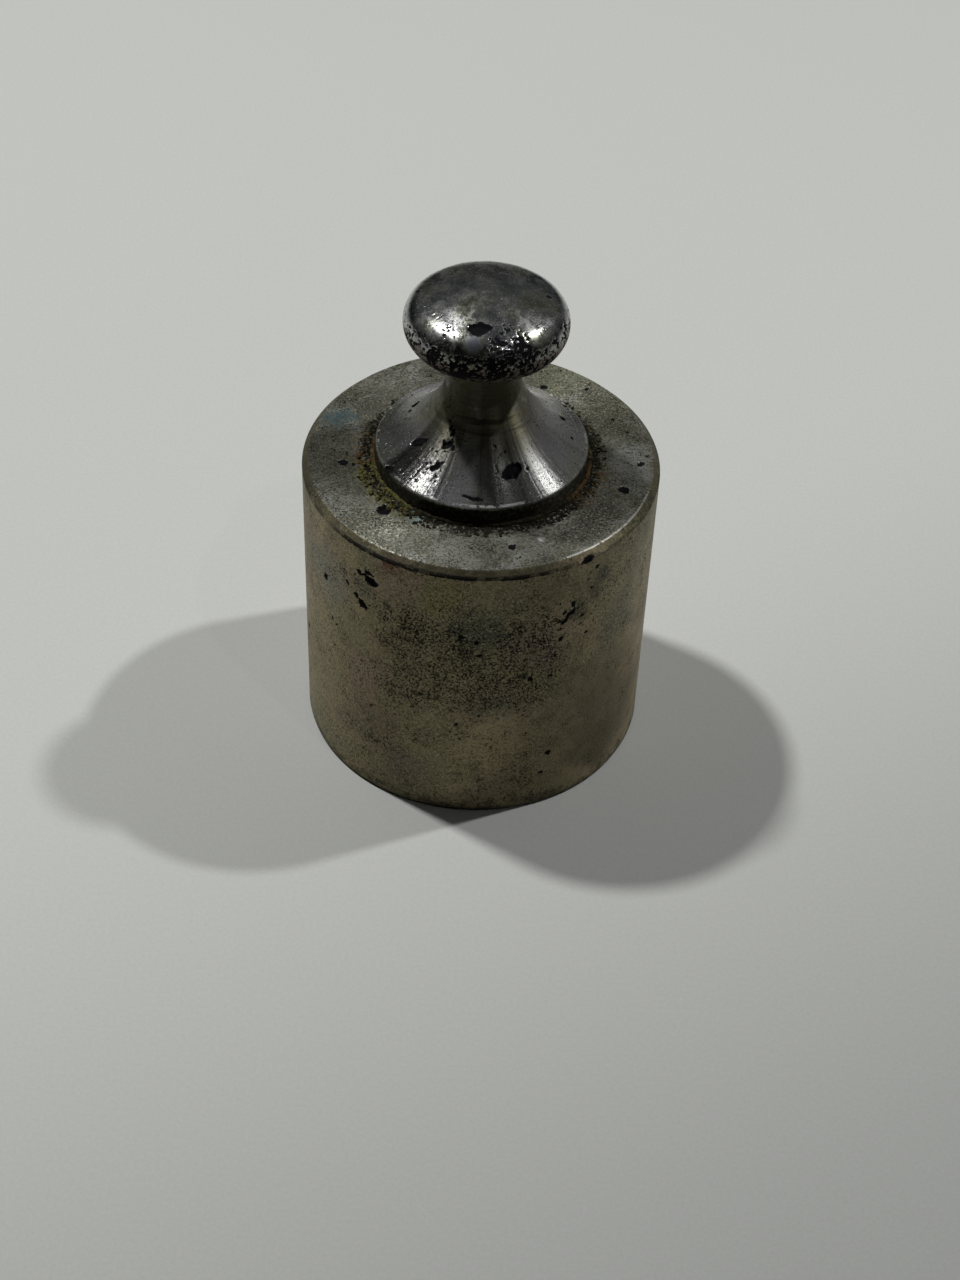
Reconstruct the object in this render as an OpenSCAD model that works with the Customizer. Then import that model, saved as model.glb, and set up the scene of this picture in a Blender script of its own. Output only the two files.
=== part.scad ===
// Knob weight for a balance: a turned cylinder closed by a screwed-in knob, with an
// adjusting hole and loose shot inside. Millimetres, +Z up, origin at the centre of the base.

/* [Body] */
// Diameter of the cylinder
body_d = 42.5; // [40:0.1:60]
// Height of the cylinder, from its base to its top face
body_h = 39.3; // [36:0.1:60]
// Chamfer round the top edge
top_chamfer = 0.8; // [0.2:0.1:2]
// Small chamfer round the base
base_chamfer = 0.4; // [0.1:0.1:1]

/* [Adjusting hole] */
// Depth of the hole's straight wall below the top face
hole_depth = 26; // [22:0.5:30]
// Full angle of the drill point at the bottom of the hole, in degrees
drill_angle = 118; // [90:1:140]
// Width of the countersink round the mouth, beyond the wall of the hole
mouth_chamfer = 0.9; // [0.3:0.1:1.5]

/* [Knob head] */
// Height of the knob above the body's top face
knob_h = 23.5; // [22:0.1:30]
// Diameter of the head
head_d = 18.9; // [17:0.1:22]
// Radius of the head's rounded edge
head_edge_r = 3.1; // [2:0.1:4]
// Radius of the shallow dome on top of the head
dome_r = 21.5; // [15:0.5:60]

/* [Knob neck and foot] */
// Diameter of the neck at its waist, just under the head
neck_d = 7.2; // [6:0.1:10]
// Radius of the fillet between the neck and the head's flat underside
neck_fillet = 0.6; // [0.3:0.1:1.5]
// Diameter of the foot
foot_d = 25.3; // [22:0.1:32]
// Height of the foot's upright rim
rim_h = 2.3; // [1.5:0.1:3.5]
// Chamfer that breaks the rim's top edge
rim_chamfer = 0.3; // [0.1:0.05:0.6]

/* [Threaded stem] */
// Diameter of the stem over its thread
stem_d = 10; // [8:0.1:12]
// Length of the stem below the foot
stem_l = 8.5; // [6:0.1:10]
// Depth of the relief groove next to the foot
relief_depth = 0.8; // [0.4:0.1:1.2]
// Width of the relief groove
relief_w = 1.4; // [0.8:0.1:2]
// Chamfer on the stem's free end
stem_chamfer = 0.8; // [0.3:0.1:1.2]
// Clearance all round the stem in its hole
stem_clearance = 0.05; // [0.02:0.01:0.1]

/* [Adjusting shot] */
// Diameter of one pellet
pellet_d = 3; // [2:0.1:3.2]
// Number of layers of pellets
pellet_layers = 3; // [1:1:3]
// Gap left between neighbouring pellets and round them
pellet_gap = 0.05; // [0.02:0.01:0.2]

/* [Hidden] */
$fn = 128;

body_r = body_d / 2;
hole_r = stem_d / 2 + stem_clearance;
// Height of the cone that the drill leaves below the straight wall
point_h = hole_r / tan(drill_angle / 2);
point_z = body_h - hole_depth - point_h;

head_r = head_d / 2;
neck_r = neck_d / 2;
foot_r = foot_d / 2;
// Heights on the knob are measured from its seat, the body's top face
dome_z = knob_h - dome_r;
edge_x = head_r - head_edge_r;
edge_z = dome_z + sqrt(pow(dome_r - head_edge_r, 2) - pow(edge_x, 2));
head_under_z = edge_z - head_edge_r;
// Outer end of the dome, where it runs tangent into the rounded edge
dome_end_x = edge_x * dome_r / (dome_r - head_edge_r);
// The flare is one arc, upright at the waist and ending at the rim's chamfer
waist_z = head_under_z - neck_fillet;
flare_end_x = foot_r - rim_chamfer;
flare_in = flare_end_x - neck_r;
flare_up = waist_z - rim_h;
flare_r = (pow(flare_in, 2) + pow(flare_up, 2)) / (2 * flare_in);

pellet_r = pellet_d / 2;
pellet_pitch = pellet_d + pellet_gap;
ring_r = hole_r - pellet_r - pellet_gap;
ring_count = floor(180 / asin(pellet_pitch / (2 * ring_r)));
ring_step = 360 / ring_count;
// Each layer lies in the hollows of the one below it
layer_pitch = sqrt(pow(pellet_pitch, 2) - pow(2 * ring_r * sin(ring_step / 4), 2));
// Height above the drill point's tip at which a pellet on the axis touches the cone
seat_h = (pellet_r + pellet_gap) / sin(drill_angle / 2);
ring_seat_h = seat_h + ring_r / tan(drill_angle / 2);
// Pellets in the middle column that stay below the top layer
column_count = 1 + floor((ring_seat_h - seat_h + (pellet_layers - 1) * layer_pitch) / pellet_pitch);

module body_blank() {
    base_r = body_r - base_chamfer;
    top_r = body_r - top_chamfer;
    cylinder(h = base_chamfer, r1 = base_r, r2 = body_r);
    translate([0, 0, base_chamfer])
        cylinder(h = body_h - base_chamfer - top_chamfer, r = body_r);
    translate([0, 0, body_h - top_chamfer])
        cylinder(h = top_chamfer, r1 = body_r, r2 = top_r);
}

// Drilled and countersunk hole, run past the top face by over so that it opens cleanly
module adjusting_hole(over = 1) {
    translate([0, 0, point_z])
        cylinder(h = point_h, r1 = 0, r2 = hole_r);
    translate([0, 0, body_h - hole_depth])
        cylinder(h = hole_depth + over, r = hole_r);
    translate([0, 0, body_h - mouth_chamfer])
        cylinder(h = mouth_chamfer + over, r1 = hole_r, r2 = hole_r + mouth_chamfer + over);
}

module body() {
    color([0.40, 0.38, 0.33])
        difference() {
            body_blank();
            adjusting_hole();
        }
}

// Half section of the head: shallow dome, round edge, flat underside
module head_section() {
    intersection() {
        translate([0, dome_z]) circle(r = dome_r);
        translate([0, edge_z]) square([dome_end_x, dome_r]);
    }
    translate([edge_x, edge_z]) circle(r = head_edge_r);
    translate([0, head_under_z]) square([edge_x, head_edge_r]);
}

// Half section of the neck and foot: one hollow arc from the waist out to the rim, whose top
// edge is chamfered by a wedge that runs past both faces
module flare_section() {
    difference() {
        square([foot_r, waist_z]);
        translate([neck_r + flare_r, waist_z]) circle(r = flare_r);
        translate([foot_r, rim_h])
            polygon(rim_chamfer * [[-2, 1], [1, 1], [1, -2]]);
    }
}

// Half section of the fillet between the waist and the head's underside
module fillet_section() {
    difference() {
        translate([0, waist_z]) square([neck_r + neck_fillet, neck_fillet]);
        translate([neck_r + neck_fillet, waist_z]) circle(r = neck_fillet);
    }
}

module stem() {
    stem_r = stem_d / 2;
    thread_l = stem_l - relief_w - stem_chamfer;
    translate([0, 0, -relief_w])
        cylinder(h = relief_w, r = stem_r - relief_depth);
    translate([0, 0, -relief_w - thread_l])
        cylinder(h = thread_l, r = stem_r);
    translate([0, 0, -stem_l])
        cylinder(h = stem_chamfer, r1 = stem_r - stem_chamfer, r2 = stem_r);
}

module knob() {
    color([0.52, 0.51, 0.49])
        translate([0, 0, body_h]) {
            rotate_extrude() {
                head_section();
                fillet_section();
                flare_section();
            }
            stem();
        }
}

module adjusting_shot() {
    color([0.30, 0.31, 0.33])
        translate([0, 0, point_z]) {
            for (layer = [0 : pellet_layers - 1], i = [0 : ring_count - 1])
                rotate((i + layer / 2) * ring_step)
                    translate([ring_r, 0, ring_seat_h + layer * layer_pitch])
                        sphere(d = pellet_d);
            for (i = [0 : column_count - 1])
                translate([0, 0, seat_h + i * pellet_pitch])
                    sphere(d = pellet_d);
        }
}

body();
knob();
adjusting_shot();
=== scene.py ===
import math
import random

import bpy
from mathutils import Matrix, Vector


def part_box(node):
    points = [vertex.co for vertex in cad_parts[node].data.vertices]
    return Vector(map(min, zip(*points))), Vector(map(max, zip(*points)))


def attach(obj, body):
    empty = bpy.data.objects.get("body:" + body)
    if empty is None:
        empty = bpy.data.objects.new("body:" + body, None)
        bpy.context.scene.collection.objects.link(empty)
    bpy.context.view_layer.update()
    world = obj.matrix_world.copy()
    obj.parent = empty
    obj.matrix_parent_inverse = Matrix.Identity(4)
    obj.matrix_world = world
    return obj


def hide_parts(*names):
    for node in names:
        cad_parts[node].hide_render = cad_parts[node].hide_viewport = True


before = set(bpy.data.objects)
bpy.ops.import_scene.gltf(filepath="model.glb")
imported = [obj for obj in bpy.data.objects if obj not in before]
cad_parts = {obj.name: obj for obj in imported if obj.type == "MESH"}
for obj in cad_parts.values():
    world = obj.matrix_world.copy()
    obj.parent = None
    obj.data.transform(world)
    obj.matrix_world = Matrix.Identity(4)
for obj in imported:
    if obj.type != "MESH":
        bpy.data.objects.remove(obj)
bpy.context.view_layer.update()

# Lengths are written in millimetres and become metres where a mesh, lamp or camera is made.
MM = 0.001

# ---- the weight's outer sizes, from the frame
BODY_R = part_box("body")[1][0] / MM
BODY_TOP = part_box("body")[1][2] / MM
KNOB_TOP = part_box("knob")[1][2] / MM
STEM_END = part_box("knob")[0][2] / MM
FOOT_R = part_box("knob")[1][0] / MM

# ---- the cylinder
TOP_CHAMFER = 0.8
BASE_CHAMFER = 0.4
HOLE_R = 5.05
HOLE_DEPTH = 26
DRILL_HALF_ANGLE = math.radians(59)
MOUTH_CHAMFER = 0.9

# ---- the knob
HEAD_R = 9.45
HEAD_EDGE_R = 3.1
DOME_R = 21.5
NECK_R = 3.6
NECK_FILLET = 0.6
RIM_H = 2.3
RIM_CHAMFER = 0.3
STEM_R = 5.0
RELIEF_R = 4.2
RELIEF_W = 1.4
RELIEF_SLOPE = 0.2
STEM_CHAMFER = 0.8

# ---- the screw thread
THREAD_PITCH = 1.0
THREAD_DEPTH = 0.5
THREAD_CLEARANCE = 0.03
THREAD_RUN_OUT = 0.08
THREAD_SIDES = 72

# ---- what follows from those sizes
RIM_TOP = BODY_TOP + RIM_H
DOME_Z = KNOB_TOP - DOME_R
EDGE_X = HEAD_R - HEAD_EDGE_R
EDGE_Z = DOME_Z + math.sqrt((DOME_R - HEAD_EDGE_R) ** 2 - EDGE_X ** 2)
EDGE_END = math.atan2(EDGE_Z - DOME_Z, EDGE_X)
DOME_END_R = DOME_R * math.cos(EDGE_END)
HEAD_UNDER = EDGE_Z - HEAD_EDGE_R
WAIST_Z = HEAD_UNDER - NECK_FILLET
FLARE_END_R = FOOT_R - RIM_CHAMFER
CHAMFER_Z = BODY_TOP - TOP_CHAMFER
TOP_EDGE_R = BODY_R - TOP_CHAMFER
FLARE_R = ((FLARE_END_R - NECK_R) ** 2 + (WAIST_Z - RIM_TOP) ** 2) / (2 * (FLARE_END_R - NECK_R))
FLARE_X = NECK_R + FLARE_R
THREAD_TOP = BODY_TOP - RELIEF_W
THREAD_END = STEM_END + STEM_CHAMFER
HOLE_BOTTOM = BODY_TOP - HOLE_DEPTH
DRILL_POINT = HOLE_BOTTOM - HOLE_R / math.tan(DRILL_HALF_ANGLE)
BELOW_ALL = -1

# ---- rounds that break the turned edges
TOP_ROUND = 0.12
SIDE_ROUND = 0.15
EDGE_ROUND = 0.1

# ---- pits and pocks: a pit's floor, rim and scattered depth are shares of its radius
PIT_FLOOR = 0.5
PIT_RIM = 1.9
SCATTERED_PIT_DEPTH = 0.4
GASH_PITS = 9
RAGGED = 1.1
BODY_POCK_DEPTH = 0.05
KNOB_POCK_DEPTH = 0.08

# ---- grime along the seam between foot and body
BEAD_R = 0.3
CRUMB_REACH = 2.2
CRUMBS_PER_MM2 = 7
CRUMB_SIZES = (0.05, 0.28)

# ---- where that grime is green and where rusty: from and to in degrees, and how soft
GREEN_ARC = (-75, -42, 14)
RUST_ARC = (58, 80, 10)

# ---- mesh density
BODY_SIDES = 480
KNOB_SIDES = 400
BEAD_STEPS = 420
BEAD_SIDES = 10
RING_SIDES = 96
EDGE_STEPS = 3
FLAT_STEP = 3
SEAT_STEP = 2.5
HIDDEN_STEP = 1.6
SMALL_STEP = 0.5
FACE_STEP = 0.3
CHAMFER_STEP = 0.25
KNOB_STEP = 0.17

# ---- floor and lamps, in metres and watts; a lamp is (name, place, size, power)
FLOOR_SIZE = 3
LAMPS = (
    ("lamp_right", (0.475, 0.175, 0.714), 0.035, 2.7),
    ("lamp_left", (-0.36, 0.206, 0.78), 0.055, 4.4),
    ("lamp_small", (0.3, -0.37, 0.76), 0.01, 0.2),
)

# ---- camera
CAMERA_DISTANCE = 283.9
CAMERA_ELEVATION = math.radians(44.87)
CAMERA_PAN = math.radians(-0.148)
CAMERA_TILT = math.radians(1.329)
CAMERA_ROLL = math.radians(2.198)
CAMERA_LENS = 60.94
CAMERA_SENSOR = 36
CAMERA_NEAR = 10


# ======== node trees

def pick(sockets, key):
    """The socket with that name, or that number, among those in use."""
    used = [socket for socket in sockets if socket.enabled]
    if isinstance(key, int):
        return used[key]
    return next(socket for socket in used if socket.name == key)


class Wire:
    """A value in a node tree. Arithmetic on it adds Math nodes."""

    def __init__(self, tree, socket):
        self.tree = tree
        self.socket = socket

    def math(self, operation, *others):
        values = dict(enumerate((self, *others)))
        return self.tree.node("ShaderNodeMath", {"operation": operation}, values)

    def __add__(self, other):
        return self.math("ADD", other)

    def __sub__(self, other):
        return self.math("SUBTRACT", other)

    def __rsub__(self, other):
        return self * -1 + other

    def __mul__(self, other):
        return self.math("MULTIPLY", other)

    __radd__ = __add__
    __rmul__ = __mul__

    def __truediv__(self, other):
        return self.math("DIVIDE", other)

    def __rtruediv__(self, other):
        return self.tree.node("ShaderNodeMath", {"operation": "DIVIDE"}, {0: other, 1: self})

    def __getitem__(self, name):
        """Another output of the same node."""
        return Wire(self.tree, pick(self.socket.node.outputs, name))


class Tree:
    """A node tree being built, of a material or of geometry nodes. Its place is the point that
    is being shaded or moved, in metres, and where is the same in millimetres."""

    def __init__(self, tree, place_node=None, output=0):
        self.tree = tree
        if place_node:
            self.place = self.node(place_node, out=output)
            self.where = self.scaled(self.place, 1 / MM)

    def node(self, kind, settings=None, values=None, out=0):
        made = self.tree.nodes.new(kind)
        for name, value in (settings or {}).items():
            if name == "stops":
                set_stops(made.color_ramp, value)
            else:
                setattr(made, name, value)
        for key, value in (values or {}).items():
            self.feed(pick(made.inputs, key), value)
        return Wire(self, pick(made.outputs, out)) if made.outputs else None

    def feed(self, socket, value):
        """Gives a socket a wire or a plain value. A colour is red, green and blue."""
        if isinstance(value, Wire):
            self.tree.links.new(value.socket, socket)
        elif socket.type == "RGBA":
            socket.default_value = (*value, 1)
        else:
            socket.default_value = value

    def scaled(self, vector, factor):
        return self.node("ShaderNodeVectorMath", {"operation": "SCALE"},
                         {"Vector": vector, "Scale": factor})

    def vector(self, operation, first, second, out="Vector"):
        return self.node("ShaderNodeVectorMath", {"operation": operation}, {0: first, 1: second}, out)

    def split(self, vector):
        parts = self.node("ShaderNodeSeparateXYZ", values={0: vector})
        return parts["X"], parts["Y"], parts["Z"]

    def joined(self, x, y, z):
        return self.node("ShaderNodeCombineXYZ", values={"X": x, "Y": y, "Z": z})

    def rise(self, value, low, high):
        """0 below low, 1 above high and smooth between; it falls where low is above high."""
        return self.node("ShaderNodeMapRange", {"interpolation_type": "SMOOTHSTEP"},
                         {"Value": value, "From Min": low, "From Max": high})

    def window(self, value, low, high, soft):
        """1 from low to high, and 0 beyond soft outside them."""
        return self.rise(value, low - soft, low) * self.rise(value, high + soft, high)

    def noise(self, per_mm, detail=4, rough=0.7, out=0, at=None):
        """Smooth noise about 0.5, here or at another point."""
        return self.node("ShaderNodeTexNoise", {"noise_dimensions": "3D"}, {
            "Vector": at or self.where, "Scale": per_mm, "Detail": detail, "Roughness": rough}, out)

    def ramp(self, value, stops):
        """A colour that runs through the stops, each a position and a colour."""
        return self.node("ShaderNodeValToRGB", {"stops": stops}, {0: value})

    def mix(self, share, first, second):
        """Colours mixed, with second where share is 1."""
        return self.node("ShaderNodeMix", {"data_type": "RGBA"},
                         {"Factor": share, "A": first, "B": second}, "Result")

    def around(self):
        """Degrees round the axis from the front, rising to the right, then the distance from
        the axis and the height, both in millimetres."""
        x, y, z = self.split(self.where)
        degrees = x.math("ARCTAN2", y * -1) * math.degrees(1)
        return degrees, (x * x + y * y).math("SQRT"), z


def new_object(name, data):
    made = bpy.data.objects.new(name, data)
    bpy.context.collection.objects.link(made)
    return made


def set_stops(ramp, stops):
    while len(ramp.elements) < len(stops):
        ramp.elements.new(1)
    for element, (position, colour) in zip(ramp.elements, stops):
        element.position = position
        element.color = (*colour, 1)


# ======== half sections

def line(start, end, step):
    """Points from start to end, no more than step apart."""
    start, end = Vector(start), Vector(end)
    count = max(1, math.ceil((end - start).length / step))
    return [start.lerp(end, i / count) for i in range(count + 1)]


def arc(centre, radius, start, end, step):
    """Points on an arc between two angles in radians, no more than step apart."""
    count = max(1, math.ceil(abs(end - start) * radius / step))
    angles = [start + (end - start) * i / count for i in range(count + 1)]
    return [Vector((centre[0] + radius * math.cos(a), centre[1] + radius * math.sin(a))) for a in angles]


def broken_edge(before, corner, after, rounding):
    """Points of the small round that breaks the edge at corner."""
    corner = Vector(corner)
    back = (Vector(before) - corner).normalized()
    forth = (Vector(after) - corner).normalized()
    half = back.angle(forth) / 2
    reach = rounding / math.tan(half)
    centre = corner + (back + forth).normalized() * rounding / math.sin(half)
    first = (corner + back * reach - centre).normalized()
    last = (corner + forth * reach - centre).normalized()
    return [centre + first.slerp(last, i / EDGE_STEPS) * rounding for i in range(EDGE_STEPS + 1)]


def outline(*corners):
    """The half section through (x, z, rounding, step) corners, each followed by a straight
    stretch whose points lie at most step apart. The last corner is plain (x, z)."""
    section = [Vector(corners[0][:2])]
    for before, here, after in zip(corners, corners[1:], corners[2:]):
        x, z, rounding = here[:3]
        turn = [Vector((x, z))]
        if rounding:
            turn = broken_edge(before[:2], (x, z), after[:2], rounding)
        section += line(section[-1], turn[0], before[3])[1:] + turn[1:]
    return section + line(section[-1], corners[-1][:2], corners[-2][3])[1:]


def body_section():
    """From the base's centre out, up the side, in over the top and down the hole."""
    groove_r = HOLE_R + THREAD_DEPTH
    thread_end = STEM_END - THREAD_PITCH
    return outline(
        (0, 0, 0, FLAT_STEP),
        (BODY_R - BASE_CHAMFER, 0, EDGE_ROUND, FACE_STEP),
        (BODY_R, BASE_CHAMFER, SIDE_ROUND, FACE_STEP),
        (BODY_R, CHAMFER_Z, SIDE_ROUND, CHAMFER_STEP),
        (TOP_EDGE_R, BODY_TOP, TOP_ROUND, FACE_STEP),
        (FOOT_R, BODY_TOP, 0, SEAT_STEP),
        (groove_r + MOUTH_CHAMFER, BODY_TOP, 0, SMALL_STEP),
        (groove_r, BODY_TOP - MOUTH_CHAMFER, 0, HIDDEN_STEP),
        (groove_r, thread_end, 0, HIDDEN_STEP),
        (HOLE_R, thread_end - THREAD_DEPTH, 0, HIDDEN_STEP),
        (HOLE_R, HOLE_BOTTOM, 0, HIDDEN_STEP),
        (0, DRILL_POINT),
    )


def knob_section():
    """From the stem's end out, over the foot, up the flare and round the head."""
    core_r = STEM_R - THREAD_DEPTH
    stem_and_rim = outline(
        (0, STEM_END, 0, HIDDEN_STEP),
        (RELIEF_R, STEM_END, 0, SMALL_STEP),
        (core_r, THREAD_END, 0, HIDDEN_STEP),
        (core_r, THREAD_TOP, 0, HIDDEN_STEP),
        (RELIEF_R, THREAD_TOP + RELIEF_SLOPE, 0, HIDDEN_STEP),
        (RELIEF_R, BODY_TOP, 0, HIDDEN_STEP),
        (FOOT_R, BODY_TOP, EDGE_ROUND, CHAMFER_STEP),
        (FOOT_R, RIM_TOP - RIM_CHAMFER, EDGE_ROUND, KNOB_STEP),
        (FLARE_END_R, RIM_TOP),
    )
    rim_angle = math.atan2(RIM_TOP - WAIST_Z, FLARE_END_R - FLARE_X) % math.tau
    flare = arc((FLARE_X, WAIST_Z), FLARE_R, rim_angle, math.pi, KNOB_STEP)
    fillet = arc((NECK_R + NECK_FILLET, WAIST_Z), NECK_FILLET, math.pi, math.pi / 2, KNOB_STEP)
    under = line((NECK_R + NECK_FILLET, HEAD_UNDER), (EDGE_X, HEAD_UNDER), FACE_STEP)
    edge = arc((EDGE_X, EDGE_Z), HEAD_EDGE_R, -math.pi / 2, EDGE_END, KNOB_STEP * 0.9)
    dome = arc((0, DOME_Z), DOME_R, EDGE_END, math.pi / 2, KNOB_STEP * 1.2)
    return stem_and_rim + flare[1:] + fillet[1:] + under[1:] + edge[1:] + dome[1:]


# ======== marks in the surface

def placed(degrees, reach, height):
    """A point round the axis: degrees from the front, rising to the right."""
    angle = math.radians(degrees)
    return Vector((reach * math.sin(angle), -reach * math.cos(angle), height))


def on_side(degrees, height):
    return placed(degrees, BODY_R, height)


def on_top(degrees, reach):
    return placed(degrees, reach, BODY_TOP)


def on_flare(degrees, reach):
    return placed(degrees, reach, WAIST_Z - math.sqrt(FLARE_R ** 2 - (FLARE_X - reach) ** 2))


def on_dome(degrees, reach):
    if reach < DOME_END_R:
        return placed(degrees, reach, DOME_Z + math.sqrt(DOME_R ** 2 - reach ** 2))
    return placed(degrees, reach, EDGE_Z + math.sqrt(HEAD_EDGE_R ** 2 - (reach - EDGE_X) ** 2))


def gash(start, end, size, depth):
    """A long pit: round ones side by side, smaller towards both ends."""
    made = []
    for i in range(GASH_PITS):
        share = i / (GASH_PITS - 1)
        degrees, along = Vector(start).lerp(Vector(end), share)
        made.append((degrees, along, size * (0.6 + 0.4 * math.sin(math.pi * share)), depth))
    return made


def scattered_pits(seed, count, degrees, along, size):
    """Pits at random places between two azimuths and two heights or reaches, most of them small."""
    draw = random.Random(seed)
    made = []
    for _ in range(count):
        spot = draw.uniform(*degrees), draw.uniform(*along)
        radius = size[0] + (size[1] - size[0]) * draw.random() ** 2
        made.append((*spot, radius, radius * SCATTERED_PIT_DEPTH))
    return made


def pits_on(where, pits=(), gashes=(), scatters=()):
    """A face's pits as (point, radius, depth): single ones as (degrees, height or reach, radius,
    depth), long ones as gash() takes them and random ones as scattered_pits() takes them."""
    rows = list(pits)
    for row in gashes:
        rows += gash(*row)
    for row in scatters:
        rows += scattered_pits(*row)
    return [(where(degrees, along), size, depth) for degrees, along, size, depth in rows]


def knob_pits():
    dome = pits_on(on_dome, gashes=(
        ((-14, 6.4), (0, 6.2), 0.88, 0.28),
    ), scatters=(
        (31, 6, (-32, -20), (5.2, 6.6), (0.1, 0.24)),
        (33, 9, (9, 28), (5.8, 7.4), (0.1, 0.26)),
        (5, 10, (90, 270), (5, 9), (0.12, 0.35)),
    ))
    flare = pits_on(on_flare, pits=(
        (-60, 12.3, 0.55, 0.35),
        (13, 6.7, 0.2, 0.08),
        (22, 7.2, 0.16, 0.08),
    ), gashes=(
        ((-64, 8.9), (-57, 7.8), 0.5, 0.22),
        ((-36, 9.5), (-32, 8.9), 0.4, 0.18),
        ((18, 9.15), (29, 8.75), 0.84, 0.35),
        ((-10, 11.3), (1, 11.5), 0.26, 0.1),
        ((-36, 7.3), (-31, 7.0), 0.46, 0.22),
    ), scatters=(
        (29, 4, (10, 14), (8.0, 9.8), (0.1, 0.2)),
        (30, 3, (34, 38), (8.2, 9.6), (0.1, 0.2)),
        (21, 9, (-39, -27), (6.0, 7.6), (0.14, 0.36)),
        (23, 12, (-46, -30), (7.8, 10.2), (0.08, 0.2)),
        (25, 7, (-56, -34), (9.8, 12.0), (0.08, 0.17)),
        (27, 5, (6, 36), (10.5, 12.2), (0.07, 0.14)),
        (3, 14, (75, 290), (6, 12), (0.15, 0.5)),
    ))
    return dome + flare


def body_pits():
    top = pits_on(on_top, pits=(
        (-45.7, 15.3, 0.75, 0.22),
        (72, 17.7, 0.6, 0.28),
        (13.5, 16.7, 0.42, 0.2),
    ), scatters=(
        (17, 22, (75, 290), (14, 20), (0.15, 0.5)),
    ))
    side = pits_on(on_side, pits=(
        (-56.8, 29.6, 0.42, 0.15),
        (-44.5, 31.8, 0.28, 0.1),
        (-52.8, 24, 0.26, 0.1),
        (28.2, 27.6, 0.34, 0.15),
        (26.5, 25.1, 0.24, 0.12),
        (25.2, 22.0, 0.26, 0.12),
        (18.4, 22.2, 0.34, 0.15),
        (1.9, 26.8, 0.26, 0.12),
        (0.5, 28.7, 0.32, 0.12),
        (37.7, 27.1, 0.24, 0.1),
        (26.5, 8.8, 0.36, 0.16),
        (24, 5.5, 0.3, 0.1),
    ), gashes=(
        ((-36.6, 34.6), (-33, 34.0), 0.62, 0.28),
        ((-40.3, 34.9), (-37.8, 34.4), 0.26, 0.1),
        ((-36.6, 35.5), (-33.8, 35.1), 0.24, 0.1),
        ((-41.2, 30.7), (-37.4, 29.7), 0.6, 0.28),
        ((-66.5, 31.5), (-58, 30.0), 0.14, 0.08),
        ((28.4, 29.9), (32.6, 31.7), 0.4, 0.2),
        ((34.5, 38.3), (37.5, 38.6), 0.42, 0.2),
        ((-5.0, 29.5), (-3.4, 29.5), 0.32, 0.12),
    ), scatters=(
        (35, 26, (26, 37), (28.8, 33.4), (0.08, 0.3)),
        (37, 14, (36, 45), (32, 37), (0.08, 0.28)),
        (39, 10, (-48, -32), (28, 36), (0.08, 0.2)),
        (11, 12, (-55, 55), (4, 24), (0.12, 0.22)),
        (13, 40, (65, 295), (2, 37), (0.15, 0.55)),
    ))
    return top + side


def pits_object(name, pits):
    """Loose points that carry each pit's size and depth, for the spin's tree to read."""
    made = base_object(name, [point * MM for point, _, _ in pits])
    for label, column in (("size", 1), ("depth", 2)):
        values = [row[column] * MM for row in pits]
        made.data.attributes.new(label, "FLOAT", "POINT").data.foreach_set("value", values)
    return made


# ======== geometry nodes

def geometry_tree(name, inputs):
    """A geometry tree that takes a geometry and the named inputs, as (tree, its wires by name)."""
    group = bpy.data.node_groups.new(name, "GeometryNodeTree")
    inputs = {"Geometry": "Geometry", **inputs}
    for label, kind in inputs.items():
        group.interface.new_socket(name=label, in_out="INPUT", socket_type="NodeSocket" + kind)
    group.interface.new_socket(name="Geometry", in_out="OUTPUT", socket_type="NodeSocketGeometry")
    tree = Tree(group, "GeometryNodeInputPosition")
    first = tree.node("NodeGroupInput")
    return tree, {label: first[label] for label in inputs}


def end_tree(tree, geometry, *finishes):
    """Ends a tree with plain geometry. Each finish is a material, and where it goes on."""
    dressed = tree.node("GeometryNodeRealizeInstances", values={"Geometry": geometry})
    for material, chosen in finishes:
        dressed = tree.node("GeometryNodeSetMaterial", values={
            "Geometry": dressed, "Selection": chosen, "Material": material})
    tree.node("NodeGroupOutput", values={"Geometry": dressed})


def pushed_out(tree, geometry, distance):
    """A geometry with its points moved out along their normals."""
    return tree.node("GeometryNodeSetPosition", values={
        "Geometry": geometry, "Offset": tree.scaled(tree.node("GeometryNodeInputNormal"), distance)})


def lifted(tree, geometry, height):
    return tree.node("GeometryNodeTransform", values={
        "Geometry": geometry, "Translation": tree.joined(0.0, 0.0, height)})


def nearest_pit(tree, pits, place):
    """How deep in the nearest pit a place lies, from 0 to 1, and that pit's depth."""
    index = tree.node("GeometryNodeSampleNearest", {"domain": "POINT"},
                      {"Geometry": pits, "Sample Position": place})

    def read(kind, value):
        return tree.node("GeometryNodeSampleIndex", {"data_type": kind, "domain": "POINT"},
                         {"Geometry": pits, "Value": value, "Index": index})

    def named(label):
        return tree.node("GeometryNodeInputNamedAttribute", {"data_type": "FLOAT"}, {"Name": label})

    centre = read("FLOAT_VECTOR", tree.place)
    size = read("FLOAT", named("size"))
    depth = read("FLOAT", named("depth"))
    away = tree.vector("DISTANCE", place, centre, "Value")
    return tree.rise(away / size, PIT_RIM, PIT_FLOOR), depth


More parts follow.
